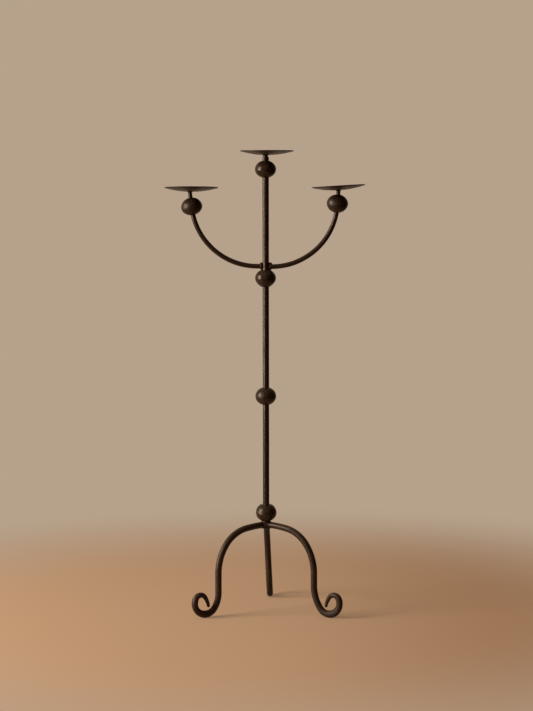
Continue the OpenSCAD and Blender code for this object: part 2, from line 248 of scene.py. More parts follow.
def struck(radius, run, angle, blows, depth, length, seed):
    """Radii of a bar after hammer blows. A blow leaves a flat at the distance
    radius - depth * (1 - (along / length)^2) from the bar's middle, so the surface there is the lesser
    of the old radius and that distance / cos(angle from the blow)."""
    rng = np.random.default_rng(seed)
    out = np.repeat(radius[:, None], len(angle), 1)
    for _ in range(blows):
        at = rng.uniform(run[0], run[-1])
        turn = rng.uniform(0, 2 * np.pi)
        deep = depth * rng.uniform(*BLOW_DEPTHS)
        half = length * rng.uniform(*BLOW_LENGTHS)
        a, b = np.searchsorted(run, (at - half, at + half))
        if b - a < 2:
            continue
        taper = 1 - ((run[a:b] - at) / half) ** 2
        c = np.cos(angle - turn)
        flat = (radius[a:b] - deep * taper)[:, None] / np.maximum(c, FLAT_REACH)
        out[a:b] = np.where(c > FLAT_REACH, np.minimum(out[a:b], flat), out[a:b])
    return out


def swell(run, hidden, by=0.10, ease=4.0):
    """Growth of a bar's radius between its joints: hammering spreads the stock beside each flat. It is
    by * min(1, distance from the nearest hidden span / ease), and 0 inside those spans."""
    clear = [np.maximum(np.maximum(low - run, run - high), 0) for low, high in hidden]
    return by * np.minimum(1, np.min(clear, axis=0) / ease)


def ridges(rings, closed_along, turn):
    """How far each point stands out from its four neighbours along the outward normal, divided by their
    spacing and compared with the median of the piece, and spread a little: 0 on flats, 1 on sharp ridges."""
    around_1, around_2 = np.roll(rings, -1, 1), np.roll(rings, 1, 1)
    along_1, along_2 = np.roll(rings, -1, 0), np.roll(rings, 1, 0)
    if not closed_along:
        along_1[-1], along_2[0] = rings[-1], rings[0]
    normal = np.cross(around_1 - around_2, along_1 - along_2) * turn
    normal /= np.maximum(np.linalg.norm(normal, axis=-1, keepdims=True), 1e-9)
    space = np.linalg.norm(around_1 - around_2, axis=-1) / 2 + 1e-6
    out = np.einsum("ijk,ijk->ij", rings - (around_1 + around_2) / 2, normal) / space
    out += np.einsum("ijk,ijk->ij", rings - (along_1 + along_2) / 2, normal) / space
    base = max(np.median(out), RIDGE_LEAST)
    out = np.clip((out - RIDGE_FROM * base) / (RIDGE_OVER * base), 0, 1)
    for axis in (0, 1, 0, 1):
        out = 0.5 * out + 0.25 * (np.roll(out, 1, axis) + np.roll(out, -1, axis))
    return np.clip(RIDGE_GAIN * out, 0, 1)


def shape(name, rings, closed_along=False, tip=None, root=None, slot="bar_iron"):
    """A closed mesh from rings of points, an array [ring, point, xyz] in millimetres. Neighbouring rings
    are joined by four-sided faces, and an open end is closed by a fan to its root or tip point. The
    point attribute "ridge" tells the finish where the skin is rubbed first."""
    n, m = rings.shape[:2]
    points = rings.reshape(-1, 3)
    ahead = n if closed_along else n - 1
    i = np.arange(ahead)[:, None]
    j = np.arange(m)[None, :]
    i2, j2 = (i + 1) % n, (j + 1) % m
    quads = np.stack([i * m + j, i * m + j2, i2 * m + j2, i2 * m + j], -1).reshape(-1, 4)
    fans = []
    if not closed_along:
        j = np.arange(m)
        points = np.vstack([points, root[None], tip[None]])
        fans = [np.stack([(j + 1) % m, j, np.full(m, n * m)], -1),
                np.stack([(n - 1) * m + j, (n - 1) * m + (j + 1) % m, np.full(m, n * m + 1)], -1)]
    triangles = np.concatenate([quads[:, [0, 1, 2]], quads[:, [0, 2, 3]], *fans])
    a, b, c = (points[triangles[:, k]] for k in range(3))
    volume = np.einsum("ij,ij->i", a, np.cross(b, c)).sum() / 6
    turn = 1 if volume > 0 else -1
    faces = quads[:, ::turn].tolist() + [face for fan in fans for face in fan[:, ::turn].tolist()]
    mesh = bpy.data.meshes.new(name)
    mesh.from_pydata((points * MM).tolist(), [], faces)
    rubbed = np.zeros(len(points), np.float32)
    rubbed[:n * m] = ridges(rings, closed_along, turn).ravel()
    mesh.attributes.new("ridge", "FLOAT", "POINT").data.foreach_set("value", rubbed)
    mesh.shade_smooth()
    mesh.set_sharp_from_angle(angle=math.radians(SHARP_ANGLE))
    piece = bpy.data.objects.new(name, mesh)
    bpy.context.scene.collection.objects.link(piece)
    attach(piece, "root")
    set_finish(piece, slot)
    return piece


def around(n):
    return np.linspace(0, 2 * np.pi, n, endpoint=False)


def turned(profile, n):
    """Rings [profile point, around, xyz] of a profile of (radius, height) turned about the Z axis."""
    u = around(n)
    r, z = profile[:, 0], profile[:, 1]
    return np.stack([r[:, None] * np.cos(u), r[:, None] * np.sin(u), np.repeat(z[:, None], n, 1)], -1)


def along(start, end, n):
    """Points from start up to but without end, evenly spaced."""
    t = np.linspace(0, 1, n, endpoint=False)[:, None]
    return np.asarray(start) * (1 - t) + np.asarray(end) * t


def bar(centre, normal, side, radius):
    """Rings of a bar: centre + radius * (cos(angle) * normal + sin(angle) * side), with one normal and
    one side for all rings or one for each."""
    u = around(radius.shape[1])[None, :, None]
    normal, side = (np.broadcast_to(way, centre.shape)[:, None] for way in (normal, side))
    return centre[:, None] + radius[..., None] * (np.cos(u) * normal + np.sin(u) * side)


def upright(points):
    """[outwards, up] to [x, 0, z]."""
    return np.stack([points[:, 0], np.zeros(len(points)), points[:, 1]], -1)


def cope(rings, boss_r, count, start):
    """Lets the first rings of a bar follow an upright boss of radius R, x = sqrt(R^2 - y^2), from the
    plane or points x = start."""
    on_boss = np.sqrt((boss_r + GAP) ** 2 - rings[0, :, 1] ** 2)
    rings[:count, :, 0] += np.linspace(1, 0, count, endpoint=False)[:, None] * (on_boss - start)


def mirrored(points, side):
    return points * [side, 1, 1]


def moved(points, at, tilt):
    """Turns points by tilt, which lifts their +X side, and moves them from the origin to [outwards, up]."""
    x, y, z = points[..., 0], points[..., 1], points[..., 2]
    return np.stack([at[0] + x * cos(tilt) - z * sin(tilt), y, at[1] + x * sin(tilt) + z * cos(tilt)], -1)


# ---- knops ----

def knop_surface(top_flat, bottom_flat, bore, seed, belly=KNOP_R, high=KNOP_HALF, deep=KNOP_HALF,
                 point=1.0, off=0.0):
    """Rings of a bored knop about the origin. Above the belly the profile is r = belly cos(a), z = high
    sin(a), below it r = belly cos(a)^point, z = -deep sin(a). Hammer blows are flats: where a plane with
    normal d at the distance s(d) - depth, s being the oval's reach along d, cuts a point off, the point
    is drawn back to the plane. A pointed knop is struck above its belly alone. A slow ripple makes the
    form uneven, and it sits off its bore along X."""
    rng = np.random.default_rng(seed)
    a = np.linspace(math.acos(top_flat / belly), 0, KNOP_HALF_RINGS, endpoint=False)
    upper = np.stack([belly * np.cos(a), high * np.sin(a)], -1)
    a = np.linspace(0, math.acos((bottom_flat / belly) ** (1 / point)), KNOP_HALF_RINGS)
    lower = np.stack([belly * np.cos(a) ** point, -deep * np.sin(a)], -1)
    oval = np.vstack([upper, lower])
    top_z, low_z = oval[0, 1], oval[-1, 1]
    wall = bore + GAP
    inside = np.vstack([along((wall, low_z), (wall, top_z), n=8), along((wall, top_z), oval[0], n=3)])
    rings = turned(np.vstack([inside, oval, along(oval[-1], (wall, low_z), n=4)[1:]]), KNOP_AROUND)
    skin = rings[len(inside):len(inside) + len(oval)]
    way = rng.normal(size=(KNOP_BLOWS, 3))
    way /= np.linalg.norm(way, axis=1)[:, None]
    up_or_down = way[:, 2] * np.where(way[:, 2] > 0, high, deep)
    reach = np.sqrt(((way[:, :2] * belly) ** 2).sum(1) + up_or_down ** 2)
    depth = KNOP_BLOW_DEPTH * rng.uniform(0.2, 1.0, len(way)) ** 1.5
    if point != 1.0:
        way[:, 2] = np.abs(way[:, 2])
    reached = skin @ way.T
    cut = np.where(reached > 1, (reach - depth) / np.maximum(reached, 1), FAR).min(-1)
    pull = np.minimum(cut, 1) - dents(skin, depth=0.006, size=26, seed=seed + 1)
    pull = np.minimum(pull, 1 - dents(skin, depth=0.0008, size=4.5, seed=seed + 2))
    free = ramp(np.minimum(top_z - skin[..., 2], skin[..., 2] - low_z), 0, KNOP_TRUE_BAND)
    skin[..., :2] *= (1 + (pull - 1) * free)[..., None]
    skin[..., 2] *= 1 + (pull - 1) * free * KNOP_HEIGHT_SHARE
    skin[..., 0] += off * free
    return rings


def stem_knops():
    """The four knops on the stem."""
    for k, (name, (z, top_flat, bottom_flat, form)) in enumerate(STEM_KNOPS.items()):
        rings = knop_surface(top_flat, bottom_flat, STEM_R, seed=40 + 7 * k, **form)
        rings[..., 2] += z
        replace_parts(shape("forged_knop_" + name, rings, closed_along=True, slot="knop_iron"), "knop_" + name)


# ---- arms, with their knops, pans and rivets ----

def arm_points(arm):
    """End of an arm's bend and its direction there, in the upright plane [outwards, up], and the lengths
    from there to the middle of its knop and to its pan."""
    turn = arm["turn"]
    end = np.array([arm["run"] + ARM_BEND_R * sin(turn), arm["z"] + ARM_BEND_R * (1 - cos(turn))])
    way = np.array([cos(turn), sin(turn)])
    to_knop = (arm["knop"] - ARM_BEND_R * (1 - cos(turn))) / sin(turn)
    to_pan = to_knop + land_h(ARM_LAND_R) + arm["neck"]
    return end, way, to_knop, to_pan


def arm_surface(arm, seed):
    """Rings of an arm on the right: a straight root, a circular bend and a straight neck, with hammer
    flats. The root follows the collar, and the spread end lies in the pan's plane. Returns them with the
    middles of both ends."""
    end, way, to_knop, to_pan = arm_points(arm)
    root = np.linspace(COLLAR_R - 0.4, arm["run"], ARM_ROOT_RINGS, endpoint=False)
    turn = np.radians(np.linspace(0, arm["turn"], ARM_BEND_RINGS))
    neck = np.arange(ARM_STEP, to_pan - FLARE_H - 0.2, ARM_STEP)
    centre = upright(np.vstack([
        np.stack([root, np.full(len(root), arm["z"])], -1),
        np.stack([arm["run"] + ARM_BEND_R * np.sin(turn), arm["z"] + ARM_BEND_R * (1 - np.cos(turn))], -1),
        end + neck[:, None] * way]))
    heading = np.concatenate([np.zeros(len(root)), turn, np.full(len(neck), turn[-1])])
    run = np.concatenate([[0], np.cumsum(np.linalg.norm(np.diff(centre, axis=0), axis=1))])
    bent = run[len(root) + len(turn) - 1]
    radius = ARM_R + (ARM_END_R - ARM_R) * ramp(run - bent, -ARM_NECKING / 2, ARM_NECKING / 2)
    knop_at = bent + to_knop
    hidden = [(-FAR, 1.5), (knop_at - KNOP_HALF, knop_at + KNOP_HALF), (run[-1] - 3, FAR)]
    angle = around(ARM_AROUND)
    r = struck(radius, run, angle, *ARM_BLOWS, seed) + swell(run, hidden)[:, None]
    normal = upright(np.stack([-np.sin(heading), np.cos(heading)], -1))
    points = bar(centre, normal, Y_WAY, r)
    points += (normal * ripple(centre, size=70, seed=seed + 3)[:, None] * ARM_WANDER)[:, None]
    outward = points - points.mean(1, keepdims=True)
    outward /= np.linalg.norm(outward, axis=-1, keepdims=True)
    uneven = dents(points, depth=0.006, size=3.6, seed=seed + 4)
    uneven += dents(points, depth=0.03, size=30, seed=seed + 6)
    points -= outward * uneven[..., None]
    cope(points, COLLAR_R, ARM_ROOT_RINGS, root[0])
    # the spread end: circles in the pan's plane, widening to its seat
    pan_x = np.array([cos(arm["tilt"]), 0, sin(arm["tilt"])])
    pan_up = np.array([-sin(arm["tilt"]), 0, cos(arm["tilt"])])
    seat, lean = upright(np.array([end + to_pan * way, way]))
    drop = np.append(np.linspace(-FLARE_H, 0, ARM_FLARE_RINGS, endpoint=False), [-0.25, 0.0])
    middle = seat + drop[:, None] / (lean @ pan_up) * lean
    circle = SPREAD_RIPPLE_R * np.stack([np.cos(angle), np.sin(angle), 0 * angle], -1)
    uneven = 1 - dents(middle[:, None] + circle, depth=0.03, size=9, seed=seed + 5)
    flare = bar(middle, -pan_x, Y_WAY, np.interp(drop, *ARM_FLARE.T)[:, None] * uneven)
    return np.vstack([points, flare]), points[0].mean(0), seat


def pan_surface(shift, nod, seed):
    """Rings of a dished sheet with a hole over the origin, its middle moved by shift along X. Both faces
    have the height H(d) = zc - sqrt(R^2 - d^2) of a ball of radius R at the distance d from the pan's
    middle, and 0 on the flat seat. Planishing blows push the sheet by depth * exp(-(d / size)^2), the
    front rim is bent up by nod, or down where that is below 0, and the rim is a half round that wanders
    a little."""
    rng = np.random.default_rng(seed)
    rise = PAN_H - PAN_SHEET
    zc = (PAN_R ** 2 + rise ** 2 - PAN_SEAT_R ** 2) / (2 * rise)
    ball = math.hypot(PAN_SEAT_R, zc)
    u = around(PAN_AROUND)
    ray = np.stack([np.cos(u), np.sin(u)], -1)

    def sheet(distance, hole, lift):
        """A circle round the origin near the hole, and round the pan's middle from the seat on."""
        flat = ray * distance + [shift * ramp(distance, hole, PAN_SEAT_R + PAN_CENTRING), 0]
        d = np.hypot(flat[:, 0] - shift, flat[:, 1])
        z = np.where(d < PAN_SEAT_R, 0, zc - np.sqrt(ball ** 2 - np.minimum(d, PAN_R) ** 2))
        return np.column_stack([flat, z + lift])

    brim = PAN_R - PAN_EDGE_R
    low = [sheet(d, RIVET_R, 0) for d in np.linspace(RIVET_R + GAP, brim, PAN_LOW_RINGS)]
    rim = [np.column_stack([ray * (brim + PAN_EDGE_R * cos(a)) + [shift, 0],
                            np.full(PAN_AROUND, PAN_H - PAN_EDGE_R + PAN_EDGE_R * sin(a))])
           for a in np.linspace(-PAN_EDGE_ANGLE, PAN_EDGE_ANGLE, PAN_RIM_RINGS)]
    high = [sheet(d, RIVET_HEAD_R, PAN_SHEET) for d in np.linspace(brim, RIVET_HEAD_R + GAP, PAN_HIGH_RINGS)]
    # the last rings of both faces meet the half round
    high[0][:, 2] = PAN_H - 0.02
    low[-1][:, 2] = PAN_H - 2 * PAN_EDGE_R + 0.04
    low[-2][:, 2] -= 0.22
    sink = [np.column_stack([ray * (RIVET_HEAD_R + GAP - SINK_IN * t),
                             np.full(PAN_AROUND, PAN_SHEET - SINK_DEPTH * t)])
            for t in (0.35, 0.7, 1.0)]
    rings = np.stack(low + rim + high + sink)
    x, y = rings[..., 0] - shift, rings[..., 1]
    d = np.hypot(x, y)
    blow = np.zeros_like(d)
    for _ in range(PAN_BLOWS):
        r = PAN_R * math.sqrt(rng.uniform(*PAN_BLOW_AREA))
        a = rng.uniform(0, 2 * np.pi)
        size = rng.uniform(*PAN_BLOW_SIZES)
        away = (x - r * math.cos(a)) ** 2 + (y - r * math.sin(a)) ** 2
        blow -= rng.uniform(*PAN_BLOW_DEPTHS) * np.exp(-away / size ** 2)
    blow += PAN_BLOWS_MEAN
    off_seat = ramp(d, PAN_SEAT_R, PAN_SEAT_R + PAN_EASE)
    near_rim = ramp(d, PAN_RIM_FROM, PAN_RIM_TO)
    at_rim = PAN_BLOWS_AT_RIM * np.minimum(blow, 0)
    rings[..., 2] += off_seat * (blow * (1 - near_rim) + at_rim * near_rim)
    circle = RIM_RIPPLE_R * np.stack([np.cos(u), np.sin(u), 0 * u], -1)
    rings[..., 2] -= near_rim * dents(circle, depth=0.1, size=60, seed=seed + 1)
    rings[..., 2] += off_seat * np.minimum(-nod * rings[..., 1] / PAN_R, max(nod, 0))
    round_off = 1 - near_rim * dents(circle, depth=0.0025, size=34, seed=seed + 2)
    rings[..., 0] = shift + x * round_off
    rings[..., 1] *= round_off
    return rings


def rivet_surface(seed):
    """Rings of a countersunk rivet: a plain shank, and a head that opens to a nearly flat, hammered face
    just under the top of the sheet. Returns them with the middles of both ends."""
    shank = [[RIVET_R - 0.6, -RIVET_LENGTH], [RIVET_R, -RIVET_LENGTH + 0.6], [RIVET_R, -5], [RIVET_R, 0.4],
             [RIVET_HEAD_R - 0.1, PAN_SHEET - 0.25]]
    face = [[RIVET_HEAD_R - 0.35, PAN_SHEET - 0.05], [RIVET_HEAD_R - 1.2, PAN_SHEET - 0.02],
            [2.6, PAN_SHEET], [1.3, PAN_SHEET]]
    rings = turned(np.array(shank + face), RIVET_AROUND)
    top = rings[len(shank):]
    top[..., 2] -= dents(top, depth=0.06, size=2.6, seed=seed)
    return rings, np.array([0, 0, -RIVET_LENGTH]), np.array([0, 0, PAN_SHEET - 0.03])


def side_light(name, arm, k):
    """An arm with its knop, pan and rivet."""
    side = arm["side"]
    end, way, to_knop, to_pan = arm_points(arm)

    def on_pan(points):
        return mirrored(moved(points, end + to_pan * way, arm["tilt"]), side)

    rings, root, tip = arm_surface(arm, seed=300 + 20 * k)
    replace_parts(shape("forged_arm_" + name, mirrored(rings, side), root=mirrored(root, side),
                      tip=mirrored(tip, side)), "arm_" + name)
    knop = knop_surface(ARM_LAND_R, ARM_LAND_R, ARM_END_R + 0.2, seed=80 + 9 * k, **arm["form"])
    knop = mirrored(moved(knop, end + to_knop * way, arm["turn"] - 90 - arm["askew"]), side)
    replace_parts(shape("forged_knop_" + name, knop, closed_along=True, slot="knop_iron"), "knop_" + name)
    pan = on_pan(pan_surface(arm["shift"] * side, arm["nod"], seed=500 + k))
    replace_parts(shape("dished_pan_" + name, pan, closed_along=True, slot="pan_iron"), "pan_" + name)
    rivet, root, tip = (on_pan(points) for points in rivet_surface(seed=600 + k))
    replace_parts(shape("sunk_rivet_" + name, rivet, root=root, tip=tip, slot="rivet_iron"), "rivet_" + name)


def lights():
    """Both arms with their knops, pans and rivets, and the top pan with its rivet."""
    for k, (name, arm) in enumerate(ARMS.items()):
        side_light(name, arm, k)
    up = np.array([0, 0, PAN_TOP_Z])
    pan = pan_surface(PAN_TOP_SHIFT, PAN_TOP_NOD, seed=530) + up
    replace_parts(shape("dished_pan_top", pan, closed_along=True, slot="pan_iron"), "pan_top")
    rivet, root, tip = (points + up for points in rivet_surface(seed=630))
    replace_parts(shape("sunk_rivet_top", rivet, root=root, tip=tip, slot="rivet_iron"), "rivet_top")


# ---- stem, collar, hub ----

def stem():
    """The stem bar: radius by height, then hammer flats and a fine uneven skin."""
    chamfer = [(HUB_BOTTOM_Z, STEM_R - STEM_CHAMFER), (HUB_BOTTOM_Z + STEM_CHAMFER, STEM_R)]
    table = np.vstack([chamfer, STEM_FLARE + [PAN_TOP_Z, 0]])
    flare_z = PAN_TOP_Z - STEM_WAIST_H - STEM_SHOULDER_H
    z = np.concatenate([table[:2, 0], np.arange(HUB_BOTTOM_Z + 2, flare_z, STEM_STEP),
                        np.linspace(flare_z, PAN_TOP_Z, STEM_FLARE_RINGS)])
    radius = np.interp(z, *table.T)
    r = struck(radius, z, around(STEM_AROUND), *STEM_BLOWS, seed=11)
    # the flats are shallower within 4 mm of both ends of the straight
    straight = ramp(flare_z - z, 0, 4) * ramp(z - HUB_BOTTOM_Z, 0, 4)
    r = radius[:, None] + (r - radius[:, None]) * np.maximum(straight, 0.3)[:, None]
    skin = turned(np.stack([radius, z], -1), STEM_AROUND)
    r -= dents(skin, depth=0.005, size=4.0, seed=12) + dents(skin, depth=0.05, size=34, seed=13)
    knops = [(at - KNOP_UPPER_POINT_H, at + KNOP_HALF) for at in (KNOP_MIDDLE_Z, KNOP_UPPER_Z, KNOP_TOP_Z)]
    hidden = [(-FAR, KNOP_LOWER_Z + KNOP_HALF), (COLLAR_Z, COLLAR_Z + COLLAR_H + BEAD_R),
              (PAN_TOP_Z - STEM_WAIST_H - 3, FAR)]
    r += swell(z, knops + hidden)[:, None]
    rings = bar(upright(np.stack([0 * z, z], -1)), X_WAY, Y_WAY, r)
    root, tip = np.array([0, 0, HUB_BOTTOM_Z]), np.array([0, 0, PAN_TOP_Z])
    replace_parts(shape("forged_stem", rings, root=root, tip=tip), "stem_bar")


def collar():
    """The arm collar: a sleeve whose top is a forged ring of round section, both lumpy. Its closed section
    is turned about the stem from lip to lip round the back. Every point is drawn in by a ripple, the ring
    bulges to the right, and none lies before the uneven plane y = -front, where the stem shows."""
    ring_r = BEAD_OUTER_R - BEAD_R
    foot = math.sqrt(BEAD_R ** 2 - (COLLAR_R - ring_r) ** 2)
    a = np.linspace(-math.degrees(math.asin(foot / BEAD_R)), COLLAR_BEAD_TO, COLLAR_BEAD_POINTS)
    a = np.radians(a)
    bead = np.stack([ring_r + BEAD_R * np.cos(a), COLLAR_H + BEAD_R * np.sin(a)], -1)
    wall = STEM_R + GAP
    inner = COLLAR_H + math.sqrt(BEAD_R ** 2 - (ring_r - wall) ** 2)
    section = np.vstack([
        along((wall, 0), (wall, inner), n=6), along((wall, inner), bead[-1], n=3), bead[::-1],
        along(bead[0], (COLLAR_R, 0.5), n=14)[1:], [[COLLAR_R - 0.1, 0.2], [COLLAR_R - 0.6, 0]],
        [[ring_r - 0.2, COLLAR_H - 1.5]]])
    lip = math.acos(COLLAR_FRONT / wall)
    turn = np.linspace(lip, 2 * np.pi - lip, COLLAR_AROUND) - np.pi / 2
    r, z = section[:, 0], section[:, 1]
    skin = np.stack([np.outer(np.cos(turn), r), np.outer(np.sin(turn), r),
                     np.repeat(z[None], COLLAR_AROUND, 0)], -1)
    lump = dents(skin, depth=0.30, size=13, seed=61) + dents(skin, depth=0.10, size=5, seed=62)
    skin[..., :2] *= (1 - ramp(r - wall, 0, 3) * lump / r)[..., None]
    skin[..., 0] += COLLAR_BULGE * (1 + np.cos(turn))[:, None] * ramp(r - COLLAR_R, 0, 1)
    rough = (0.45 + dents(skin, depth=0.28, size=7, seed=63)) * ramp(r - wall, 0, 2)
    skin[..., 1] = np.maximum(skin[..., 1], rough - COLLAR_FRONT)
    skin[..., 2] += COLLAR_Z
    # the section's last point lies inside it, and both lips are closed by a fan to it
    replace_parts(shape("forged_collar", skin[:, :-1], root=skin[0, -1], tip=skin[-1, -1]), "arm_collar")


def hub():
    """The leg hub: a short bored boss with eased edges."""
    h = HUB_TOP_Z - HUB_BOTTOM_Z
    wall = STEM_R + GAP
    inside = np.vstack([along((wall, 0), (wall, h), n=6), along((wall, h), (HUB_R - 0.4, h), n=3),
                        [[HUB_R - 0.4, h]]])
    outside = np.vstack([[[HUB_R, h - 0.5]], along((HUB_R, h - 0.9), (HUB_R, 0.9), n=20), [[HUB_R, 0.9]]])
    rings = turned(np.vstack([inside, outside, [[HUB_R - 0.9, 0]]]), HUB_AROUND)
    skin = rings[len(inside):-1]
    skin[..., :2] *= (1 - dents(skin, depth=0.010, size=7, seed=71))[..., None]
    rings[..., 2] += HUB_BOTTOM_Z
    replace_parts(shape("forged_hub", rings, closed_along=True), "leg_hub")


# ---- legs ----

def leg_path(heel, lean):
    """Middle line of a leg in its own plane [outwards, up from its root], as points, headings in radians
    and lengths so far: circular bends and one straight upright, each sampled evenly. Also the length at
    which the scroll's first bend ends and the taper begins."""
    point, heading, length = np.zeros(2), 0.0, 0.0
    points, headings, lengths = [point[None]], [[0.0]], [[0.0]]

    def bend(radius, turn):
        nonlocal point, heading, length
        way, t = math.copysign(1, turn), math.radians(turn)
        n = max(3, int(radius * abs(t) / LEG_STEP))
        g = heading + t * np.arange(1, n + 1) / n
        moves = np.stack([np.sin(g) - math.sin(heading), math.cos(heading) - np.cos(g)], -1)
        p = point + way * radius * moves
        points.append(p)
        headings.append(g)
        lengths.append(length + radius * abs(t) * np.arange(1, n + 1) / n)
        point, heading, length = p[-1], g[-1], length + radius * abs(t)

    for radius, turn in ARCH:
        bend(radius, turn)
    scroll_r = SCROLL[0][0]
    drop = heel * sin(HEEL_TURN) + scroll_r * (1 - sin(HEEL_TURN))
    down = (LEG_ROOT_Z - LEG_R + FOOT_FLAT) / cos(lean) + point[1] - drop
    n = int(down / LEG_STEP)
    t = np.arange(1, n + 1)[:, None] / n
    points.append(point + t * [0, -down])
    headings.append(np.full(n, heading))
    lengths.append(length + down * t[:, 0])
    point, length = point + [0, -down], length + down
    bend(heel, HEEL_TURN)
    bend(*SCROLL[0])
    taper_from = length
    bend(*SCROLL[1])
    bend(*SCROLL[2])
    return np.vstack(points), np.concatenate(headings), np.concatenate(lengths), taper_from


def leg_surface(leg, seed):
    """Rings of a leg: its bar of radius 8 along the middle line, tapering from the curl to a radius of 4
    at the tip, which ends in a half ball; hammer flats; thicker inside the scroll by
    upset * cos(angle from the inside)^2 * exp(-(distance / length)^2); its root follows the hub, and its
    foot is cut flat at the floor. Returns them with the middles of both ends, and the function that
    stands points of the leg's own plane in their place."""
    points, heading, run, taper_from = leg_path(leg["heel"], leg["lean"])
    first = int(np.argmax(points[:, 0] > HUB_R - 0.5))
    points, heading, run = points[first:], heading[first:], run[first:]
    radius = LEG_R + (LEG_TIP_R - LEG_R) * ramp(run, taper_from, run[-1])
    angle = around(LEG_AROUND)
    scroll_r, scroll_turn = SCROLL[0]
    scroll = taper_from - scroll_r * math.radians(scroll_turn)
    hidden = [(-FAR, run[0] + 4), (scroll, FAR)]
    r = struck(radius, run, angle, *LEG_BLOWS, seed)
    r += swell(run, hidden, by=0.12, ease=40.0)[:, None] - LEG_WORN
    upset, length, late = leg["upset"]
    lowest = scroll + scroll_r * math.radians(90 - HEEL_TURN)
    r += upset * np.exp(-((run - lowest - late) / length) ** 2)[:, None] * np.maximum(np.cos(angle), 0) ** 2
    way = upright(np.stack([np.cos(heading), np.sin(heading)], -1))
    normal = upright(np.stack([-np.sin(heading), np.cos(heading)], -1))
    middle = upright(points)
    body = bar(middle, normal, Y_WAY, r)
    uneven = dents(body, depth=0.0008, size=4.0, seed=seed + 1)
    uneven += dents(body, depth=0.005, size=34, seed=seed + 2)
    body -= (body - middle[:, None]) * uneven[..., None]
    cap_at = np.radians(LEG_CAP_ANGLES)[:, None]
    cap_r = np.repeat(0.985 * LEG_TIP_R * np.cos(cap_at), LEG_AROUND, 1)
    cap = bar(middle[-1] + LEG_TIP_R * np.sin(cap_at) * way[-1], normal[-1], Y_WAY, cap_r)
    tip = middle[-1] + LEG_TIP_R * way[-1]
    cope(body, HUB_R, LEG_ROOT_RINGS, body[0, :, 0])

    def stand(p):
        """Leans the leg about its own outward axis, turns it to its azimuth and sets it at its root."""
        y = p[..., 1] * cos(leg["lean"]) + p[..., 2] * sin(leg["lean"])
        z = -p[..., 1] * sin(leg["lean"]) + p[..., 2] * cos(leg["lean"]) + LEG_ROOT_Z
        x = p[..., 0]
        c, s = cos(leg["azimuth"]), sin(leg["azimuth"])
        return np.stack([x * c - y * s, x * s + y * c, np.maximum(z, 0)], -1)

    return stand(np.vstack([body, cap])), stand(body[0].mean(0)), stand(tip), stand


def legs():
    """The three legs, and the fillet of weld round each root."""
    for k, (name, leg) in enumerate(LEGS.items()):
        rings, root, tip, stand = leg_surface(leg, seed=800 + 30 * k)
        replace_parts(shape("forged_leg_" + name, rings, root=root, tip=tip), "leg_" + name)
        weld = weld_surface(HUB_R, LEG_R, LEG_WELD_R, seed=900 + k)
        shape("weld_leg_" + name, stand(weld), closed_along=True)


# ---- welds ----

def weld_surface(boss_r, bar_r, bead_r, seed):
    """Rings of a lumpy fillet where a bar of radius b meets an upright boss of radius R: its middle line
    is (sqrt(R^2 - y^2), y, z) with y = b sin(t), z = b cos(t), and its round section swells and shrinks
    in overlapping ripples as a run of weld does."""
    t = around(WELD_ALONG)
    y, z = bar_r * np.sin(t), bar_r * np.cos(t)
    line = np.stack([np.sqrt(boss_r ** 2 - y ** 2), y, z], -1)
    out = np.stack([0 * t, np.sin(t), np.cos(t)], -1)
    beats = np.abs(np.sin(t * WELD_BEATS + ripple(line, size=12, seed=seed + 1)))
    thick = 1 + 0.22 * ripple(line, size=5, seed=seed) + 0.12 * beats
    rings = bar(line, out, X_WAY, np.repeat(bead_r * thick[:, None], WELD_AROUND, 1))
    return rings + 0.12 * ripple(rings, size=2.2, seed=seed + 2)[..., None] * out[:, None]


def arm_welds():
    """The fillet of weld where each arm meets the collar."""
    for k, (name, arm) in enumerate(ARMS.items()):
        weld = weld_surface(COLLAR_R, ARM_R, ARM_WELD_R, seed=950 + k) + [0, 0, arm["z"]]
        shape("weld_arm_" + name, mirrored(weld, arm["side"]), closed_along=True)


# ---- materials ----

class Wire:
    """A socket of one material's nodes. Arithmetic on it adds Math nodes."""

    def __init__(self, tree, socket):
        self.tree, self.socket = tree, socket

    def maths(self, operation, *others):
        node = self.tree.nodes.new("ShaderNodeMath")
        node.operation = operation
        for slot, value in zip(node.inputs, (self, *others)):
            plug(self.tree, slot, value)
        return Wire(self.tree, node.outputs[0])

    def __add__(self, other):
        return self.maths("ADD", other)

    def __sub__(self, other):
        return self.maths("SUBTRACT", other)

    def __mul__(self, other):
        return self.maths("MULTIPLY", other)

    def __rsub__(self, other):
        return (self * -1.0) + other

    __radd__ = __add__

    def clamped(self):
        return self.maths("MAXIMUM", 0.0).maths("MINIMUM", 1.0)


def plug(tree, slot, value):
    """Links a wire to a socket, or sets the socket's own value."""
    if isinstance(value, Wire):
        tree.links.new(value.socket, slot)
    else:
        slot.default_value = value


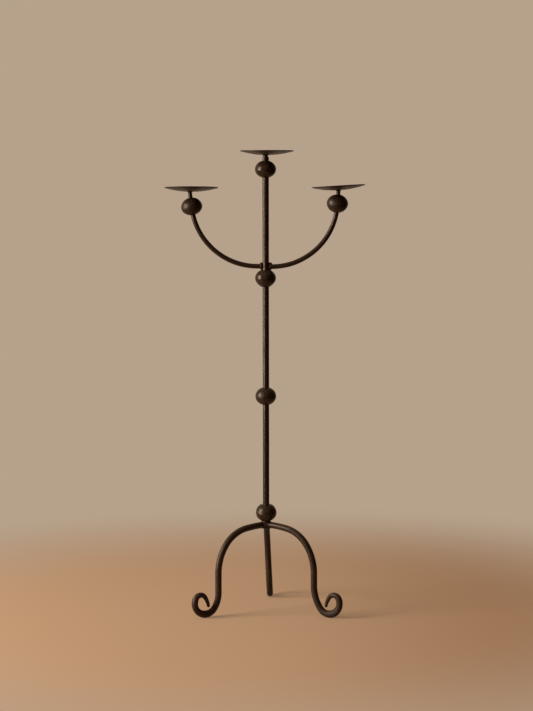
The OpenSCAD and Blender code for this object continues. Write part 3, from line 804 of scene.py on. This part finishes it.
class Nodes:
    """The nodes of one material or world, added by kind, settings and socket values."""

    def __init__(self, owner):
        owner.use_nodes = True
        self.owner, self.tree = owner, owner.node_tree
        self.tree.nodes.clear()
        self.place = self.add("ShaderNodeTexCoord", out="Object")

    def add(self, kind, sockets=None, out=0, **settings):
        node = self.tree.nodes.new(kind)
        for key, value in settings.items():
            setattr(node, key, value)
        for key, value in (sockets or {}).items():
            plug(self.tree, node.inputs[key], value)
        return Wire(self.tree, node.outputs[out]) if len(node.outputs) else node

    def noise(self, scale, detail=3.0, roughness=0.55, place=None):
        return self.add("ShaderNodeTexNoise", {
            "Vector": place or self.place, "Scale": scale, "Detail": detail, "Roughness": roughness})

    def cells(self, scale):
        return self.add("ShaderNodeTexVoronoi", {"Vector": self.place, "Scale": scale}, out="Distance")

    def stretched(self, x, y, z):
        return self.add("ShaderNodeMapping", {"Vector": self.place, "Scale": (x, y, z)})

    def part(self, vector, axis):
        return self.add("ShaderNodeSeparateXYZ", {"Vector": vector}, out=axis)

    def step(self, value, low, high):
        return self.add("ShaderNodeMapRange", {"Value": value, "From Min": low, "From Max": high},
                        interpolation_type="SMOOTHSTEP")

    def blend(self, share, first, second):
        """Colour mix. A Mix node takes colours in its seventh and eighth sockets, and gives one in its
        third."""
        colour = [c if isinstance(c, Wire) else (*c, 1) for c in (first, second)]
        return self.add("ShaderNodeMix", {0: share, 6: colour[0], 7: colour[1]}, out=2, data_type="RGBA")

    def ray(self, *kinds):
        """1 for rays of any of these kinds."""
        seen = self.add("ShaderNodeLightPath", out=f"Is {kinds[0]} Ray")
        for kind in kinds[1:]:
            seen = seen.maths("MAXIMUM", self.add("ShaderNodeLightPath", out=f"Is {kind} Ray"))
        return seen

    def surface(self, wire, output="ShaderNodeOutputMaterial"):
        self.add(output, {"Surface": wire})
        return self.owner


BLACK, BROWN, BARE = (0.0165, 0.0088, 0.0043), (0.034, 0.0175, 0.0095), (0.10, 0.08, 0.06)
SPECULAR, SPECULAR_TINT = 0.34, (1.0, 0.85, 0.73, 1)
BUMP_DISTANCE = 0.00022
# Heights between which the legs get duller, and what the normal's Z is where the painted reflection of
# the floor on a pan's underside begins.
TRODDEN_M, PAINTED_REFLECTION_Z = (0.075, 0.03), (-0.960, -0.972)

# Each finish: roughness, relief of its skin, how much glossier the brown patches are, level streaks,
# extra dullness by the floor, colours of its black, its brown and the bare metal, and the painted
# reflection of the warm floor on a pan's underside.
FINISHES = {
    "blackened_bar": dict(rough=0.31, skin=0.3, uneven=0.11),
    "blackened_arm": dict(rough=0.36, skin=0.6, uneven=0.09),
    "blackened_leg": dict(rough=0.45, skin=0.6, uneven=0.09, trodden=0.16),
    "blackened_weld": dict(rough=0.50, bare=(0.08, 0.06, 0.045)),
    "blackened_knop": dict(rough=0.35, skin=0.8, streak=0.3),
    "blackened_arm_knop": dict(rough=0.41, skin=0.8, streak=1.1, bare=(0.09, 0.07, 0.055)),
    "blackened_high_knop": dict(rough=0.27, skin=0.8, streak=0.3),
    # a pan's under colour is a painted reflection of the warm floor on its underside
    "blackened_pan": dict(rough=0.46, skin=0.7, dark=(0.0185, 0.0098, 0.005), brown=(0.046, 0.024, 0.014),
                          bare=(0.10, 0.075, 0.055), under=(0.100, 0.062, 0.039)),
    "blackened_rivet": dict(rough=0.40, dark=(0.024, 0.017, 0.012), brown=(0.042, 0.030, 0.022),
                            bare=(0.14, 0.12, 0.095)),
}
# The finish of a piece goes by the beginning of its name: the first one here that fits.
FINISH_OF = {
    "forged_knop_top": "blackened_high_knop", "forged_knop_upper": "blackened_high_knop",
    "forged_knop_left": "blackened_arm_knop", "forged_knop_right": "blackened_arm_knop",
    "forged_knop": "blackened_knop", "forged_arm": "blackened_arm", "forged_leg": "blackened_leg",
    "forged": "blackened_bar", "weld": "blackened_weld", "dished_pan": "blackened_pan",
    "sunk_rivet": "blackened_rivet",
}


def blackened_iron(name, rough, skin=1.0, uneven=0.05, streak=0.0, trodden=0.0, dark=BLACK, brown=BROWN,
                   bare=BARE, under=None):
    """Forged iron under a black, waxed skin: slow patches of brown in the black, fine mottling, scale
    pits, small rubbed places along the ridges between hammer flats, where the skin is thin and the metal
    shows through, on knops fine level streaks left by dressing them, and a duller skin by the floor. On
    the pans the undersides get a lighter brown that is a painted reflection of the warm floor, and the
    rims are darker along their ridges."""
    f = Nodes(bpy.data.materials.new(name))
    patches = f.step(f.noise(scale=26.0), 0.38, 0.66)
    mottle = f.noise(scale=160.0, detail=4.0, roughness=0.6)
    grit = f.noise(scale=1100.0, detail=2.0, roughness=0.5)
    pits = f.step(f.cells(scale=300.0), 0.30, 0.06)
    ridge = f.add("ShaderNodeAttribute", out="Fac", attribute_name="ridge")
    rubbed = f.step(mottle + grit * 0.3 + ridge * 0.16, 0.74, 0.92)
    colour = f.blend((patches * 0.6 + f.step(mottle, 0.4, 0.7) * 0.4).clamped(), dark, brown)
    colour = f.blend(rubbed * 0.7, colour, bare)
    colour = f.blend(pits * 0.6, colour, tuple(0.5 * c for c in dark))
    # painted reflection: where a pan faces down, towards the warm floor, it is painted a lighter brown
    if under:
        down = f.part(f.add("ShaderNodeNewGeometry", out="Normal"), "Z")
        colour = f.blend(f.step(down, *PAINTED_REFLECTION_Z) * (1 - patches * 0.25), colour, under)
        # the rim is coloured darker along its ridges
        colour = f.blend(ridge.clamped() * 0.85, colour, tuple(0.4 * c for c in dark))
    gloss = rough + mottle * 0.16 + 0.03 - patches * uneven - rubbed * 0.06
    gloss = (gloss + pits * 0.15 + grit * 0.08 - 0.15).clamped()
    if trodden:
        gloss = gloss + f.step(f.part(f.place, "Z"), *TRODDEN_M) * trodden
    height = mottle * 0.8 + grit * 0.10 - pits * 0.35
    if streak:
        level = f.stretched(14.0, 14.0, 330.0)
        height = height + f.noise(scale=1.0, roughness=0.65, place=level) * streak
    bump = f.add("ShaderNodeBump", {"Strength": 0.5 * skin, "Distance": BUMP_DISTANCE, "Height": height})
    return f.surface(f.add("ShaderNodeBsdfPrincipled", {
        "Base Color": colour, "Metallic": rubbed * 0.4, "Roughness": gloss, "Normal": bump,
        "Specular IOR Level": SPECULAR, "Specular Tint": SPECULAR_TINT}))


def dress():
    """Gives every piece its finish by its name. Arms, legs and welds are duller than stem, collar and
    hub, the arms' knops duller than the stem's, and the two high knops glossier."""
    made = {name: blackened_iron(name, **finish) for name, finish in FINISHES.items()}
    for piece in bpy.data.objects:
        if "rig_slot" in piece:
            finish = next(name for start, name in FINISH_OF.items() if piece.name.startswith(start))
            piece.data.materials.append(made[finish])


# ---- studio ----

WALL = (0.470, 0.362, 0.262)
DUSK = (0.075, 0.036, 0.018)
# In reflections the wall is light up and to the left, towards the window: that way, and the cosines of
# the angle from it between which dusk becomes the wall's own colour. Between the two last values of a
# direction's Y it becomes the plain backdrop behind the stand.
LIGHT_WAY, DUSK_TO_WALL, TO_BACKDROP = (-0.62, 0.10, 0.78), (-0.35, 1.05), (0.55, 0.90)
WORLD_LIGHT = 0.7
# The floor's own colour, and the glow that lifts it for the camera and in reflections; the right-hand
# colours are darker copies, painted shade away from the window.
FLOOR, FLOOR_RIGHT_SHADED = (0.65, 0.41, 0.25), (0.57, 0.34, 0.20)
FLOOR_LIFT, FLOOR_LIFT_RIGHT_SHADED = (0.45, 0.29, 0.175), (0.38, 0.225, 0.125)
FLOOR_LIFT_SHARE = 0.4
SHADED_FLOOR = (0.30, 0.19, 0.11)
FLOOR_AROUND = 96
FLOOR_RINGS_M = [0.02, 0.3, 1.0, 3.0, 9.0]
# Where the floor goes over to its painted shade on the right, by X, and to nothing, by distance.
FLOOR_SHADE_TURN_M, FLOOR_FADE_M = (-0.05, 0.65), (0.55, 1.75)
WINDOW = dict(azimuth=72, elevation=12, distance=3.2, width=1.6, height=2.4, radiance=13.0, aim=0.62,
              colour=(1.0, 0.90, 0.80))
# The photo's camera, in pixels, degrees and metres.
FOCAL_LENGTH, FRAME_HEIGHT = 1900, 711
CAMERA_DOWN, CAMERA_ROLL = 4.32, 0.08
CAMERA_AT = (0.0020, -4.705, 0.996)
SENSOR = 36.0


def floor():
    """A pale floor disc with painted shade that makes it a little darker away from the window, and that
    fades into the backdrop with distance."""
    n = FLOOR_AROUND
    rings = turned(np.array([(r, 0) for r in FLOOR_RINGS_M]), n)
    i, j = 1 + n * np.arange(len(rings) - 1)[:, None], np.arange(n)[None]
    on = (j + 1) % n
    faces = np.stack([i + j, i + n + j, i + n + on, i + on], -1).reshape(-1, 4).tolist()
    faces += np.stack([0 * j, 1 + j, 1 + on], -1)[0].tolist()
    mesh = bpy.data.meshes.new("pale_floor")
    mesh.from_pydata(np.vstack([[[0, 0, 0]], rings.reshape(-1, 3)]).tolist(), [], faces)
    disc = bpy.data.objects.new("pale_floor", mesh)
    bpy.context.scene.collection.objects.link(disc)
    f = Nodes(bpy.data.materials.new("pale_floor"))
    far = f.add("ShaderNodeVectorMath", {"Vector": f.place}, out="Value", operation="LENGTH")
    seen = f.ray("Camera", "Glossy", "Transmission")
    # painted shade: the floor and its glow are painted darker towards +X, away from the window
    painted_shade_share = f.step(f.part(f.place, "X"), *FLOOR_SHADE_TURN_M)
    colour = f.blend(seen, SHADED_FLOOR, f.blend(painted_shade_share, FLOOR, FLOOR_RIGHT_SHADED))
    boards = f.add("ShaderNodeBsdfDiffuse", {"Color": colour})
    lift = f.blend(painted_shade_share, FLOOR_LIFT, FLOOR_LIFT_RIGHT_SHADED)
    glow = f.add("ShaderNodeEmission", {"Color": lift, "Strength": 1.0})
    lifted = f.add("ShaderNodeMixShader", {"Fac": seen * FLOOR_LIFT_SHARE, 1: boards, 2: glow})
    clear = f.add("ShaderNodeBsdfTransparent")
    faded = f.add("ShaderNodeMixShader", {"Fac": f.step(far, *FLOOR_FADE_M), 1: lifted, 2: clear})
    mesh.materials.append(f.surface(faded))


def room():
    """A world that is one pale wall to the camera, and behind the stand also to metal and glass. In the
    rest of the iron's reflections the same wall is dim low on the right, away from the window, and as
    light on the object it is a little weaker still."""
    w = Nodes(bpy.data.worlds.new("studio"))
    bpy.context.scene.world = w.owner
    way = w.add("ShaderNodeTexCoord", out="Generated")
    towards = w.add("ShaderNodeVectorMath", {0: way, 1: LIGHT_WAY}, out="Value", operation="DOT_PRODUCT")
    behind = w.step(w.part(way, "Y"), *TO_BACKDROP)
    backdrop = w.ray("Camera").maths("MAXIMUM", w.ray("Glossy", "Transmission") * behind)
    wall = w.blend(backdrop, w.blend(w.step(towards, *DUSK_TO_WALL), DUSK, WALL), WALL)
    seen = w.ray("Camera", "Glossy", "Transmission")
    strength = seen * (1 - WORLD_LIGHT) + WORLD_LIGHT
    light = w.add("ShaderNodeBackground", {"Color": wall, "Strength": strength})
    w.surface(light, "ShaderNodeOutputWorld")


def lamp(name, azimuth, elevation, distance, width, height, radiance, aim, colour):
    """A soft box at an angle round the stand from the photographed front, clockwise from above being
    positive, that looks at the given height of the stem. Its power is radiance * area * pi."""
    data = bpy.data.lights.new(name, "AREA")
    data.shape = "RECTANGLE"
    data.size, data.size_y = width, height
    data.energy = radiance * width * height * math.pi
    data.color = colour
    box = bpy.data.objects.new(name, data)
    back = np.array([-sin(azimuth) * cos(elevation), -cos(azimuth) * cos(elevation), sin(elevation)])
    box.location = back * distance + [0, 0, aim]
    box.rotation_mode = "QUATERNION"
    box.rotation_quaternion = Vector(-back).to_track_quat("-Z", "Y")
    bpy.context.scene.collection.objects.link(box)


def camera():
    """The photo's camera, looking a little down on the stand from its front."""
    data = bpy.data.cameras.new("photo_camera")
    data.sensor_fit = "AUTO"
    data.sensor_width = SENSOR
    data.lens = SENSOR * FOCAL_LENGTH / FRAME_HEIGHT
    eye = bpy.data.objects.new("photo_camera", data)
    eye.location = CAMERA_AT
    eye.rotation_euler = (math.radians(90 - CAMERA_DOWN), math.radians(CAMERA_ROLL), 0)
    bpy.context.scene.collection.objects.link(eye)
    bpy.context.scene.camera = eye


stem()
stem_knops()
collar()
hub()
lights()
legs()
arm_welds()
dress()
floor()
room()
lamp("window", **WINDOW)
camera()

bpy.context.scene.view_settings.view_transform = "Standard"
